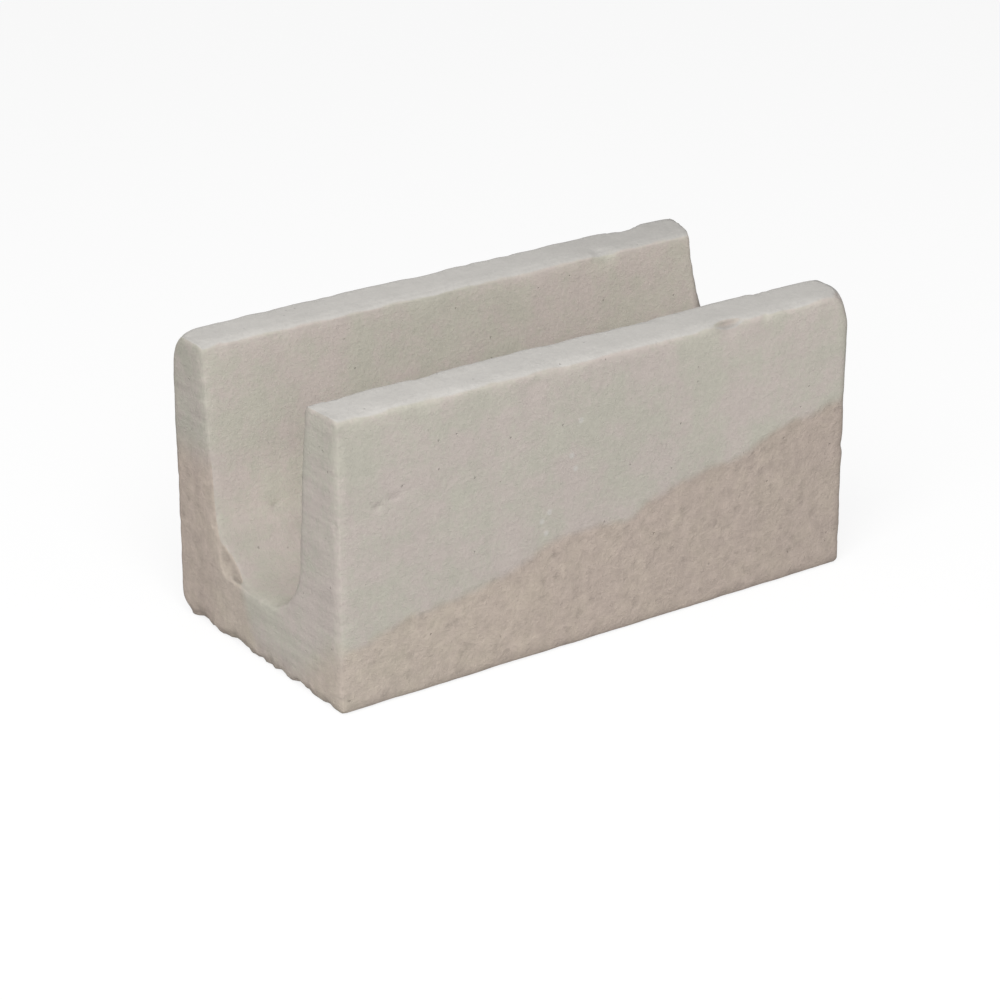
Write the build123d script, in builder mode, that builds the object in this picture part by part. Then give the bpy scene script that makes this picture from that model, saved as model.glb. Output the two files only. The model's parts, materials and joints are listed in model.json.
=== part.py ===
"""Concrete lintel block: a U-section masonry unit, laid in a row over an opening.

Steel bars lie in its trough, which is then filled with grout to make a lintel beam.
X runs along the lintel, Y across the wall and Z up. The origin is the middle of the bed face.
"""

import math
import os

from build123d import *

# Overall size of one unit, in millimetres
length = 390.0
width = 190.0
height = 190.0

# Trough: its walls taper, so that the former draws out upwards, and round feet leave a flat strip of floor
wall_top = 38.0
wall_foot = 50.0
floor_thickness = 44.0
floor_flat = 16.0

# Arrises: the wall tops are rubbed rounder than the edges that the mould box leaves
top_arris_radius = 6.0
mould_arris_radius = 3.0

# Half the clear width of the trough, at its mouth and where its sides would meet the floor
mouth_half_width = width / 2 - wall_top
foot_half_width = width / 2 - wall_foot

# Each foot is one arc from the flat strip to its wall, which leans outwards by this angle
wall_lean = math.atan2(wall_foot - wall_top, height - floor_thickness)
foot_radius = (foot_half_width - floor_flat / 2) * math.tan((math.pi / 2 + wall_lean) / 2)


with BuildPart() as lintel_block:
    # The section across the wall is drawn at one end and extruded to the other
    with BuildSketch(Plane.YZ.offset(-length / 2)) as section:
        Rectangle(width, height, align=(Align.CENTER, Align.MIN))
        with BuildLine():
            Polyline(
                (-mouth_half_width, height),
                (-foot_half_width, floor_thickness),
                (foot_half_width, floor_thickness),
                (mouth_half_width, height),
                close=True,
            )
        make_face(mode=Mode.SUBTRACT)
        trough_feet = section.vertices().group_by(Axis.Y)[1]
        fillet(trough_feet, foot_radius)
        wall_top_corners = section.vertices().group_by(Axis.Y)[-1]
        fillet(wall_top_corners, top_arris_radius)
    extrude(amount=length)

    # One radius runs round both ends and along the two edges of the bed face
    end_arrises = lintel_block.faces().filter_by(Axis.X).edges()
    bed_arrises = lintel_block.edges().filter_by(Axis.X).group_by(Axis.Z)[0]
    fillet(end_arrises + bed_arrises, mould_arris_radius)

lintel_block.part.label = "lintel_block"


os.makedirs("parts", exist_ok=True)
export_step(lintel_block.part, "parts/lintel_block.step")
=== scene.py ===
"""Looks of one pressed concrete lintel block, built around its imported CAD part."""
import json
import math

import bmesh
import bpy
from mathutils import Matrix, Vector


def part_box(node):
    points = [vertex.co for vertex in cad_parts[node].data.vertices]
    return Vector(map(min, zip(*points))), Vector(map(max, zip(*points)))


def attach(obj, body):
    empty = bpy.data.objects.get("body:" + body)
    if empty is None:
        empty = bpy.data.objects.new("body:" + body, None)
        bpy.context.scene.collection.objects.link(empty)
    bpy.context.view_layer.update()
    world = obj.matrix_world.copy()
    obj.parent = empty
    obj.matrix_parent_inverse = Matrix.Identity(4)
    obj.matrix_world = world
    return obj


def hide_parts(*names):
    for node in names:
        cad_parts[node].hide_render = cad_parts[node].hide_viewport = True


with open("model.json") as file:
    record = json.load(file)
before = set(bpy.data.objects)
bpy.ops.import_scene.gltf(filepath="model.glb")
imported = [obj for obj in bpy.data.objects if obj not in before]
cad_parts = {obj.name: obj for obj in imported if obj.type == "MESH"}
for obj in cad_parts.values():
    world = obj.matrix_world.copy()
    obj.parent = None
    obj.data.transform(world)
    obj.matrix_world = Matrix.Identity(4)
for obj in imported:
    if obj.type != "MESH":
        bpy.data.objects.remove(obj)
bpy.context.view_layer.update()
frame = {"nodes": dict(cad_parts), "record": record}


# The block: a U-section unit of earth-moist sand and cement, pressed in a steel mould as one piece.
# The mould leaves a smooth pale skin. Handling rubs and chips the arrises, most on the wall tops.
# Below a slanting tide line the face is stained brown and its sandy grain lies open.
block_low, block_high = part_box("lintel_block")
block_middle = (block_low + block_high) / 2
mount_places = {mount["name"]: Vector(mount["pos_m"]) for mount in frame["record"]["mounts"]}
wall_top_thickness = 2 * (mount_places["front_wall_top"].y - block_low.y)
mouth_half_width = block_high.y - wall_top_thickness
trough_floor_height = mount_places["trough_floor"].z


class Wire:
    """A node's output. Arithmetic on it adds Math nodes, and node() adds any other node."""

    def __init__(self, tree, socket=None):
        self.tree = tree
        self.socket = socket

    def node(self, kind, settings=None, sockets=None, output=0):
        made = self.tree.nodes.new(kind)
        for name, value in (settings or {}).items():
            setattr(made, name, value)
        shown = [socket for socket in made.inputs if socket.enabled]
        for key, value in (sockets or {}).items():
            taken = shown[key] if isinstance(key, int) else next(s for s in shown if s.name == key)
            if isinstance(value, Wire):
                self.tree.links.new(value.socket, taken)
            else:
                taken.default_value = value
        given = [socket for socket in made.outputs if socket.enabled]
        return Wire(self.tree, given[output])

    def maths(self, operation, *values):
        return self.node("ShaderNodeMath", {"operation": operation}, dict(enumerate(values)))

    def __add__(self, other):
        return self.maths("ADD", self, other)

    __radd__ = __add__

    def __sub__(self, other):
        return self.maths("SUBTRACT", self, other)

    def __rsub__(self, other):
        return self.maths("SUBTRACT", other, self)

    def __mul__(self, other):
        return self.maths("MULTIPLY", self, other)

    __rmul__ = __mul__

    def __abs__(self):
        return self.maths("ABSOLUTE", self)

    def most(self, other):
        return self.maths("MAXIMUM", self, other)

    def rises(self, low, high):
        """0 below low and 1 above high, with a smooth step between them."""
        sockets = {"Value": self, "From Min": low, "From Max": high}
        return self.node("ShaderNodeMapRange", {"interpolation_type": "SMOOTHSTEP"}, sockets)

    def between(self, low, high, kind="RGBA"):
        """The first colour or vector where this value is 0 and the second where it is 1."""
        sockets = {"Factor": self, "A": low, "B": high}
        return self.node("ShaderNodeMix", {"data_type": kind}, sockets)

    def axis(self, name):
        return self.node("ShaderNodeSeparateXYZ", None, {"Vector": self}, "XYZ".index(name))

    def vector_maths(self, operation, sockets):
        return self.node("ShaderNodeVectorMath", {"operation": operation}, {0: self, **sockets})

    def distance(self, other):
        return self.vector_maths("DISTANCE", {1: other})

    def patches(self, size, detail=2.0, roughness=0.5):
        """Soft random patches about size metres across, from -0.5 to 0.5. Size may be one per axis."""
        axis_sizes = size if isinstance(size, tuple) else (size, size, size)
        place = self.vector_maths("DIVIDE", {1: axis_sizes})
        sockets = {"Vector": place, "Scale": 1.0, "Detail": detail, "Roughness": roughness}
        return self.node("ShaderNodeTexNoise", None, sockets) - 0.5


# Dents, darkened in the finish: place, half the length along the block and half the height.
# Each is deepest inside its core and ends at its rim, both as shares of its half size
dents = (
    (Vector((-0.1950, -0.0916, 0.1214)), 0.0024, 0.0022),
    (Vector((-0.1666, -0.0950, 0.1297)), 0.0045, 0.0018),
    (Vector((-0.1548, -0.0950, 0.1325)), 0.0065, 0.0015),
    (Vector((-0.1500, 0.0473, 0.0770)), 0.0036, 0.0020),
    (Vector((0.0966, -0.0935, 0.1855)), 0.0140, 0.0060),
)
dent_core = 0.3
dent_rim = 1.3


def in_dents(place):
    """1 in the middle of each dent, 0 outside them."""
    deep = 0.0
    for dent_place, half_length, half_height in dents:
        half_size = (half_length, half_height, half_height)
        way_off = place.vector_maths("SUBTRACT", {1: dent_place})
        way_off = way_off.vector_maths("DIVIDE", {1: half_size})
        deep = (1 - way_off.vector_maths("LENGTH", {}).rises(dent_core, dent_rim)).most(deep)
    return deep


def in_trough(place, facing):
    """1 on the faces of the trough, else 0."""
    beside = mouth_half_width - abs(place.axis("Y"))
    above = place.axis("Z") - trough_floor_height
    not_end = 1 - abs(facing.axis("X")).rises(0.5, 0.7)
    return beside.rises(-0.001, 0.0) * above.rises(-0.003, -0.002) * not_end


# The tide line: its height on the near front arris and its climb per metre along the front face.
# On the near end it dips under the trough and rises on the back wall, which dies out along the block
tide_height = 0.040
tide_climb = 0.196
near_end_dip = 0.034
back_wall_rise = 0.110
near_end_fade = 0.30

# How ragged the line is, and half its blur on the long faces and, added to that, on the ends
tide_ragged = 0.012
tide_blur = 0.0040
end_blur = 0.012

# Tongues of the line: place along the block, how far each licks up or down, and half its length
tide_tongues = (
    (0.050, 0.0030, 0.032),
    (0.102, -0.0020, 0.030),
    (0.160, 0.0045, 0.034),
    (0.211, -0.0070, 0.026),
    (0.300, -0.0025, 0.030),
    (0.342, 0.0025, 0.024),
)


def below_tide_line(place, facing):
    """1 in the stained part, below a line that climbs along the front and dips on the near end."""
    along = place.axis("X") - block_low.x
    across = place.axis("Y") - block_low.y
    near_end_line = across.rises(0.090, 0.150) * back_wall_rise
    near_end_line = near_end_line - across.rises(0.0, 0.060) * near_end_dip
    line = tide_height + along * tide_climb + near_end_line * (1 - along.rises(0.0, near_end_fade))
    for tongue_along, lick, half_length in tide_tongues:
        line = line + lick * (1 - abs(along - tongue_along).rises(0.0, half_length))
    line = line + place.patches(0.018, 4.0, 0.65) * tide_ragged
    blur = tide_blur + abs(facing.axis("X")) * end_blur
    return (line - place.axis("Z")).rises(blur * -1, blur) * (1 - in_trough(place, facing))


# The relief is worked into an even grid of points, which is blurred to find and pull in the arrises
grid_size = 0.0022
rub_steps = 12
knock_steps = 50

relief = bpy.data.node_groups.new("rubbed_and_chipped", "GeometryNodeTree")
relief.interface.new_socket("Block", in_out="INPUT", socket_type="NodeSocketGeometry")
relief.interface.new_socket("Block", in_out="OUTPUT", socket_type="NodeSocketGeometry")
relief_start = Wire(relief)
pressed = relief_start.node("NodeGroupInput")
spot = relief_start.node("GeometryNodeInputPosition")
outward = relief_start.node("GeometryNodeInputNormal")


def smoothed(steps):
    """Each point moved to the middle of its neighbours, so many times over."""
    settings = {"data_type": "FLOAT_VECTOR"}
    sockets = {"Value": spot, "Iterations": steps}
    return relief_start.node("GeometryNodeBlurAttribute", settings, sockets)


def kept_as(name, block_shape, value):
    """The block with a value kept on its points under this name, for its finish."""
    settings = {"data_type": "FLOAT", "domain": "POINT"}
    sockets = {"Geometry": block_shape, "Name": name, "Value": value}
    return relief_start.node("GeometryNodeStoreNamedAttribute", settings, sockets)


rubbed_place = smoothed(rub_steps)
knocked_place = smoothed(knock_steps)
arris = spot.distance(rubbed_place).rises(0.0005, 0.0015)
height = spot.axis("Z")
near_top = height.rises(block_high.z - 0.030, block_high.z - 0.010)
near_end = 1 - spot.axis("X").rises(block_low.x + 0.008, block_low.x + 0.028)
behind_front = spot.axis("Y").rises(block_low.y + 0.008, block_low.y + 0.026)
bed_edge = near_end * (1 - height.rises(0.006, 0.018)) * behind_front

# The near front corner of the wall tops is sound. Two others are knocked round: place and reach
sound_corner = Vector((block_low.x, block_low.y, block_high.z))
round_corners = (
    (Vector((block_low.x, block_high.y, block_high.z)), 0.020),
    (Vector((block_high.x, block_low.y, block_high.z)), 0.024),
)

# Shares of the way to the blurred place: rubbing everywhere, in patches and more near the wall tops,
# knocks in patches, and knocks that leave the bed edge of the near end ragged
least_rub = 0.10
patchy_rub = 0.30
top_rub = 0.35
patchy_knock = 0.50
bed_edge_knock = 0.75

rub = least_rub + spot.patches(0.030).rises(-0.15, 0.20) * (patchy_rub + near_top * top_rub)
knock = spot.patches(0.024).rises(0.10, 0.24) * height.rises(0.02, 0.05) * patchy_knock
knock = knock * spot.distance(sound_corner).rises(0.012, 0.032)
knock = knock.most(spot.patches(0.019, 3.0).rises(-0.10, 0.14) * bed_edge * bed_edge_knock)
for corner, reach in round_corners:
    knock = knock.most(1 - spot.distance(corner).rises(0.0, reach))
worn_place = rub.between(spot, rubbed_place, "VECTOR")
worn_place = knock.between(worn_place, knocked_place, "VECTOR")

# Chips, each scooped out by a ball: place on an arris, way out of the block, depth and ball radius
back_mouth_end = Vector((block_high.x, mouth_half_width, block_high.z))
chips = (
    (Vector((block_low.x, block_high.y, block_low.z)), Vector((-0.60, 0.52, -0.60)), 0.0080, 0.060),
    (Vector((block_low.x, 0.0324, 0.0522)), Vector((-0.74, -0.41, 0.53)), 0.0047, 0.024),
    (Vector((block_low.x, 0.0324, 0.0522)), Vector((-1.00, 0.00, 0.07)), 0.0045, 0.012),
    (back_mouth_end, Vector((0.97, -0.26, 0.00)), 0.0100, 0.160),
    (Vector((0.0966, block_low.y, block_high.z)), Vector((0.00, -0.80, 0.60)), 0.0040, 0.030),
    (Vector((0.1480, block_high.y, block_high.z)), Vector((0.10, 0.70, 0.70)), 0.0065, 0.035),
    (Vector((-0.1736, -mouth_half_width, block_high.z)), Vector((0.00, 0.60, 0.80)), 0.0045, 0.045),
    (Vector((-0.1115, -mouth_half_width, block_high.z)), Vector((0.00, 0.60, 0.80)), 0.0038, 0.040),
)
chip_grain_depth = 0.0016

grain = 0.5 + spot.patches(0.006)
broken = 0.0
for chip_place, way_out, chip_depth, ball_radius in chips:
    ball_middle = chip_place + way_out.normalized() * (ball_radius - chip_depth)
    from_middle = worn_place.vector_maths("SUBTRACT", {1: ball_middle})
    rough_radius = ball_radius + grain * chip_grain_depth
    scooped = (rough_radius - worn_place.distance(ball_middle)).most(0.0)
    way_in = from_middle.vector_maths("NORMALIZE", {})
    worn_place = way_in.vector_maths("MULTIPLY_ADD", {1: scooped, 2: worn_place})
    broken = scooped.rises(0.0004, 0.0020).most(broken)

# Depths: shallow hollows on all faces and, added to that, on upward ones, the open grain of the stain,
# the grain of the arrises and the dents. The bed face stays flat
hollow_depth = 0.0008
upward_hollow_depth = 0.0016
stain_depth = 0.0001
stain_grain_depth = 0.0004
arris_grain_depth = 0.0006
dent_depth = 0.0010

upward = outward.axis("Z")
hollow = hollow_depth + upward.rises(0.3, 0.9) * upward_hollow_depth
hollow = (0.5 + spot.patches(0.060)) * hollow
hollow = hollow + below_tide_line(spot, outward) * (stain_depth + grain * stain_grain_depth)
hollow = hollow + arris * grain * arris_grain_depth + in_dents(spot) * dent_depth
hollow = hollow * upward.rises(-0.95, -0.60)
inward = outward.vector_maths("SCALE", {"Scale": hollow * -1})

marked = kept_as("broken_face", kept_as("arris_wear", pressed, arris), broken)
sockets = {"Geometry": marked, "Position": worn_place, "Offset": inward}
weathered = relief_start.node("GeometryNodeSetPosition", None, sockets)
relief_end = relief.nodes.new("NodeGroupOutput")
relief.links.new(weathered.socket, relief_end.inputs[0])

# The finish: sandy skin, tops and their arrises painted paler (partly rubbed, partly painted light),
# brown open grain below the tide line
pinkish_skin = (0.494, 0.439, 0.404, 1)
greenish_skin = (0.462, 0.444, 0.382, 1)
# The tops' paler skin, partly rubbed and partly painted light
pale_top_skin = (0.505, 0.488, 0.462, 1)
pinkish_sand = (0.462, 0.388, 0.338, 1)
yellowish_sand = (0.468, 0.404, 0.336, 1)
lime_white = (0.620, 0.610, 0.590, 1)

concrete = bpy.data.materials.new("pressed_concrete")
concrete.use_nodes = True
concrete_shader = concrete.node_tree.nodes["Principled BSDF"]
concrete_start = Wire(concrete.node_tree)
spot = concrete_start.node("ShaderNodeTexCoord", None, None, 3)
outward = concrete_start.node("ShaderNodeNewGeometry", None, None, 1)
wear = concrete_start.node("ShaderNodeAttribute", {"attribute_name": "arris_wear"}, None, 2)
broken = concrete_start.node("ShaderNodeAttribute", {"attribute_name": "broken_face"}, None, 2)


def shaded(paint, tone):
    """The colour made darker by a tone below 1 and paler by one above it."""
    return paint.vector_maths("SCALE", {"Scale": tone})


def layered(value, layers):
    """The value with each layer added at its strength."""
    for layer, strength in layers:
        value = layer * strength + value
    return value


def grains(size, output):
    """Packed grains about size metres across: how far off each one's middle is, or its own colour."""
    outputs = ("Distance", "Color")
    sockets = {"Vector": spot, "Scale": 1 / size}
    return spot.node("ShaderNodeTexVoronoi", None, sockets, outputs.index(output))


# Zones of the finish, each from 0 to 1, by place in metres and by the way that a face looks
along = spot.axis("X") - block_low.x
end_face = abs(outward.axis("X")).rises(0.5, 0.8)
front_face = (outward.axis("Y") * -1).rises(0.5, 0.8)
at_top = spot.axis("Z").rises(block_high.z - 0.014, block_high.z - 0.010)
back_wall_end = end_face * spot.axis("Y").rises(0.030, 0.065)
back_half = spot.axis("Y").rises(block_middle.y - 0.010, block_middle.y + 0.030)
behind_front_wall = spot.axis("Y").rises(block_middle.y - 0.030, block_middle.y - 0.010)
far_half = along.rises(0.18, 0.36)
trough = in_trough(spot, outward)

# The skin is pinkish or greenish in patches. Where the wall tops face up it is paler, partly rubbed and
# partly painted light
tops_with_painted_light = (outward.axis("Z") + spot.patches(0.022, 4.0, 0.6) * 0.6).rises(0.60, 0.85) * at_top
hue = spot.patches(0.036, 6.0, 0.80).rises(-0.12, 0.12)
skin = tops_with_painted_light.between(hue.between(pinkish_skin, greenish_skin), pale_top_skin)

# The stain is weaker near the near front arris and faint in the far trough. Broken faces share its sand
full_stain = along.rises(0.0, 0.15).most(back_wall_end)
stain = below_tide_line(spot, outward) * (1 - tops_with_painted_light * 0.4) * (0.80 + full_stain * 0.20)
stain = stain.most(trough * along.rises(0.15, 0.39) * 0.22)
stain = stain.most(broken * (0.80 - at_top * 0.45))
sand_hue = spot.patches(0.018, 5.0, 0.70).rises(-0.10, 0.15)
sand_hue = sand_hue + 1 - along.rises(0.04, 0.20).most(back_wall_end)
sand_colour = (sand_hue * 0.5).between(pinkish_sand, yellowish_sand)

# Patterns of the concrete: sand, dark and tan grains, grit, soft patches, marks of the mould and pores
dark_grain_size = 0.0090
tan_grain_size = 0.0075
grit_size = 0.0017
pore_spacing = 0.0065

sand = spot.patches(0.0026, 4.0, 0.70)
dark_grains = 1 - (grains(dark_grain_size, "Distance") + sand * 0.5).rises(0.12, 0.45)
dark_grains = dark_grains * grains(dark_grain_size, "Color").axis("X").rises(0.20, 0.90)
tan_grains = 1 - (grains(tan_grain_size, "Distance") + sand * 0.5).rises(0.10, 0.45)
tan_grains = tan_grains * grains(tan_grain_size, "Color").axis("Y").rises(0.30, 0.90)
grit = grains(grit_size, "Color").axis("X")
mottle = spot.patches(0.030, 5.0, 0.60)
blotches = spot.patches(0.0085, 2.0, 0.55)
drag_marks = spot.patches((0.007, 0.007, 0.080), 3.0)
press_marks = spot.patches((0.060, 0.060, 0.0035))
pore_size = grains(pore_spacing, "Color").axis("X").rises(0.70, 1.0) * 0.14
pores = (pore_size - grains(pore_spacing, "Distance")).rises(0.0, 0.06)

# Tones of the skin and of the stain: what lightens or darkens each of them, and how strongly
even_skin_tone = 0.975
skin_layers = (
    (mottle, 0.10 + end_face * 0.10),
    (blotches, 0.10),
    (sand, 0.16),
    (grit, 0.04),
    (drag_marks, 0.05),
    (press_marks, 0.05 + end_face * 0.22),
    (far_half * front_face, 0.07),
    (far_half * tops_with_painted_light, -0.03 - back_half * 0.07),
    (back_wall_end, -0.07),
    # Painted light: the trough is lightened a little against its shade
    (trough, 0.02),
)
even_stain_tone = 1.005
stain_layers = (
    (mottle, 0.12),
    (blotches, 0.42),
    (sand, 0.15),
    (grit, 0.05),
    (dark_grains, -0.10),
    (tan_grains, 0.08),
    (drag_marks, 0.04 + end_face * 0.16),
    (along, -0.11),
    (back_wall_end, -0.05),
)
shown_skin = shaded(skin, layered(even_skin_tone, skin_layers))
shown_stain = shaded(sand_colour, layered(even_stain_tone, stain_layers))
face_colour = stain.between(shown_skin, shown_stain)

# Painted shade lies in the pores, on the trough's floor with its dust, on the arrises and broken faces
# and on the far arrises.
# The dents and a thin line at the far end are darker. Painted light lifts the low trough inside its
# near mouth
# Painted shade on the arrises, in patches, against the lamp's highlight on their rounding
arris_painted_shade = wear * spot.patches(0.014, 3.0).rises(-0.25, 0.10)
# Dust and painted shade on the trough's upward faces, which the lamp lights most
trough_floor_dust_and_shade = trough * outward.axis("Z").rises(0.10, 0.60)
beside_mouth = abs(spot.axis("Y")).rises(mouth_half_width, mouth_half_width + 0.004)
far_arris = along.rises(0.379, 0.386) * (1 - beside_mouth)
# Painted shade in the pores, and darker dents
dark_pores_and_dents = (pores * 0.18).most(in_dents(spot) * 0.16)
dirt_layers = (
    (trough_floor_dust_and_shade, 0.06 + back_half * 0.11),
    (arris_painted_shade, 0.04 + at_top.most(behind_front_wall) * 0.08),
    # Broken faces are darkened: partly their own sand, partly painted shade against the lamp
    (broken, 0.18 - at_top * 0.10),
    # Painted shade on the far arrises, which turn away from the lamp
    (wear * along.rises(0.374, 0.388), 0.14),
    (far_arris, 0.30),
)
# Painted light: the low trough inside its near mouth is lightened where the front wall shades it
painted_light_low_in_trough = trough * along.rises(0.005, 0.055) * (1 - along.rises(0.10, 0.18))
painted_light_low_in_trough = painted_light_low_in_trough * (1 - spot.axis("Z").rises(0.085, 0.120))
painted_light_strength = 0.24
dirt_tone = 1 - layered(dark_pores_and_dents, dirt_layers)
face_colour = shaded(face_colour, dirt_tone * (1 + painted_light_low_in_trough * painted_light_strength))

# A drip line of lime specks on the front face: place along the block and height.
# Each is even inside its core and gone at its rim
lime_specks = (
    (0.1757, 0.1494),
    (0.1690, 0.1279),
    (0.1719, 0.1188),
    (0.1524, 0.0948),
    (0.1468, 0.0899),
    (0.1500, 0.0814),
)
speck_core = 0.0008
speck_rim = 0.0028
speck_strength = 0.4
for speck_along, speck_height in lime_specks:
    speck_place = Vector((block_low.x + speck_along, block_low.y, block_low.z + speck_height))
    speck = 1 - spot.distance(speck_place).rises(speck_core, speck_rim)
    face_colour = (speck * speck_strength).between(face_colour, lime_white)

# Relief finer than the grid, in metres, and how matt the face is
fine_layers = (
    (sand, 0.0004),
    (grit, 0.0001),
    (press_marks * end_face, 0.0002),
    (pores, -0.0004),
    (stain * sand, 0.0002),
    (stain * blotches, 0.0003),
    (stain * dark_grains, -0.00015),
)
fine_relief = {"Strength": 1.0, "Distance": 1.0, "Height": layered(0.0, fine_layers)}
bumped = spot.node("ShaderNodeBump", None, fine_relief)
face_roughness = 0.90 + sand * 0.12 + stain * 0.04
concrete.node_tree.links.new(face_colour.socket, concrete_shader.inputs["Base Color"])
concrete.node_tree.links.new(face_roughness.socket, concrete_shader.inputs["Roughness"])
concrete.node_tree.links.new(bumped.socket, concrete_shader.inputs["Normal"])
concrete_shader.inputs["Specular IOR Level"].default_value = 0.3

# The weathered mesh takes the pressed block's shape on the grid, and then the relief
shape = bmesh.new()
shape.from_mesh(frame["nodes"]["lintel_block"].data)
bmesh.ops.remove_doubles(shape, verts=shape.verts, dist=1e-6)
block_mesh = bpy.data.meshes.new("weathered_block")
shape.to_mesh(block_mesh)
shape.free()
block_mesh.materials.clear()
block_mesh.materials.append(concrete)
block = bpy.data.objects.new("weathered_block", block_mesh)
bpy.context.scene.collection.objects.link(block)
even_grid = block.modifiers.new("even_grid", "REMESH")
even_grid.mode = "VOXEL"
even_grid.voxel_size = grid_size
even_grid.use_smooth_shade = True
weather = block.modifiers.new("weather", "NODES")
weather.node_group = relief
graph = bpy.context.evaluated_depsgraph_get()
block.data = bpy.data.meshes.new_from_object(block.evaluated_get(graph), depsgraph=graph)
block.modifiers.clear()

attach(block, "root")
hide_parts("lintel_block")


# The floor: a wide sheet of matt white paper, laid flat under the block.
# It shows as white, keeps the block's soft shadow and throws only a dim light back up.
floor_half_width = 4.0
floor_gap = 0.0002
paper_white = (0.98, 0.98, 0.98, 1)
paper_bounce = (0.40, 0.40, 0.40, 1)
paper_glow = 0.82

floor_sheet = bmesh.new()
bmesh.ops.create_grid(floor_sheet, x_segments=1, y_segments=1, size=floor_half_width)
floor_mesh = bpy.data.meshes.new("paper_floor")
floor_sheet.to_mesh(floor_mesh)
floor_sheet.free()
floor = bpy.data.objects.new("paper_floor", floor_mesh)
floor.location.z = block_low.z - floor_gap
bpy.context.scene.collection.objects.link(floor)


def seen_directly(start):
    """1 for what the camera sees straight, or in a mirror or a glass, else 0."""
    seen = start.node("ShaderNodeLightPath")
    rays = seen.socket.node.outputs
    for name in ("Is Glossy Ray", "Is Transmission Ray"):
        seen = seen.most(Wire(start.tree, rays[name]))
    return seen


paper = bpy.data.materials.new("white_paper")
paper.use_nodes = True
paper_shader = paper.node_tree.nodes["Principled BSDF"]
paper_shader.inputs["Roughness"].default_value = 0.9
paper_start = Wire(paper.node_tree)
paper_seen = seen_directly(paper_start)
paper_colour = paper_seen.between(paper_bounce, paper_white)
paper.node_tree.links.new(paper_colour.socket, paper_shader.inputs["Base Color"])
white = paper_start.node("ShaderNodeEmission", None, {"Color": (1, 1, 1, 1), "Strength": 1.0})
lit = Wire(paper.node_tree, paper_shader.outputs[0])
sockets = {0: paper_seen * paper_glow, 1: lit, 2: white}
shown_paper = paper_start.node("ShaderNodeMixShader", None, sockets)
paper_end = paper.node_tree.nodes["Material Output"]
paper.node_tree.links.new(shown_paper.socket, paper_end.inputs["Surface"])
floor_mesh.materials.append(paper)


# The light: an overcast sky all round and one large soft lamp, high beside the camera.
# The sky shows as white behind the block, and lights it more dimly than that.
sky_strength = 0.38
lamp_place = Vector((-1.45, -1.70, 2.15))
lamp_width = 3.0
lamp_power = 110.0

sky = bpy.data.worlds.new("overcast_sky")
bpy.context.scene.world = sky
sky.use_nodes = True
sky_shader = sky.node_tree.nodes["Background"]
sky_shader.inputs["Color"].default_value = (1, 1, 1, 1)
sky_shader.inputs["Strength"].default_value = sky_strength
sky_start = Wire(sky.node_tree)
backdrop = sky_start.node("ShaderNodeBackground", None, {"Color": (1, 1, 1, 1), "Strength": 1.0})
dim_sky = Wire(sky.node_tree, sky_shader.outputs[0])
sky_seen = seen_directly(sky_start)
shown_sky = sky_start.node("ShaderNodeMixShader", None, {0: sky_seen, 1: dim_sky, 2: backdrop})
sky.node_tree.links.new(shown_sky.socket, sky.node_tree.nodes["World Output"].inputs["Surface"])

lamp_data = bpy.data.lights.new("soft_lamp", "AREA")
lamp_data.shape = "DISK"
lamp_data.size = lamp_width
lamp_data.energy = lamp_power
lamp = bpy.data.objects.new("soft_lamp", lamp_data)
lamp.location = lamp_place
lamp.rotation_mode = "QUATERNION"
lamp.rotation_quaternion = (block_middle - lamp_place).to_track_quat("-Z", "Y")
bpy.context.scene.collection.objects.link(lamp)


# The camera: a long lens, about two metres off, above the near front corner.
# It looks level from side to side, and its picture isn't shifted.
azimuth = math.radians(-35.45)
elevation = math.radians(23.0)
camera_distance = 2.068
sensor_width = 36.0
focal_share = 3.253
right_offset = 0.0099
up_offset = 0.0326

level_back = Vector((math.sin(azimuth), -math.cos(azimuth), 0))
back = level_back * math.cos(elevation) + Vector((0, 0, 1)) * math.sin(elevation)
right = Vector((0, 0, 1)).cross(back).normalized()
up = back.cross(right)
camera_data = bpy.data.cameras.new("camera")
camera_data.sensor_width = sensor_width
camera_data.lens = focal_share * sensor_width
camera = bpy.data.objects.new("camera", camera_data)
camera.location = block_middle + back * camera_distance - right * right_offset - up * up_offset
camera.rotation_mode = "QUATERNION"
camera.rotation_quaternion = (-back).to_track_quat("-Z", "Y")
bpy.context.scene.collection.objects.link(camera)
bpy.context.scene.camera = camera
bpy.context.scene.view_settings.view_transform = "Standard"
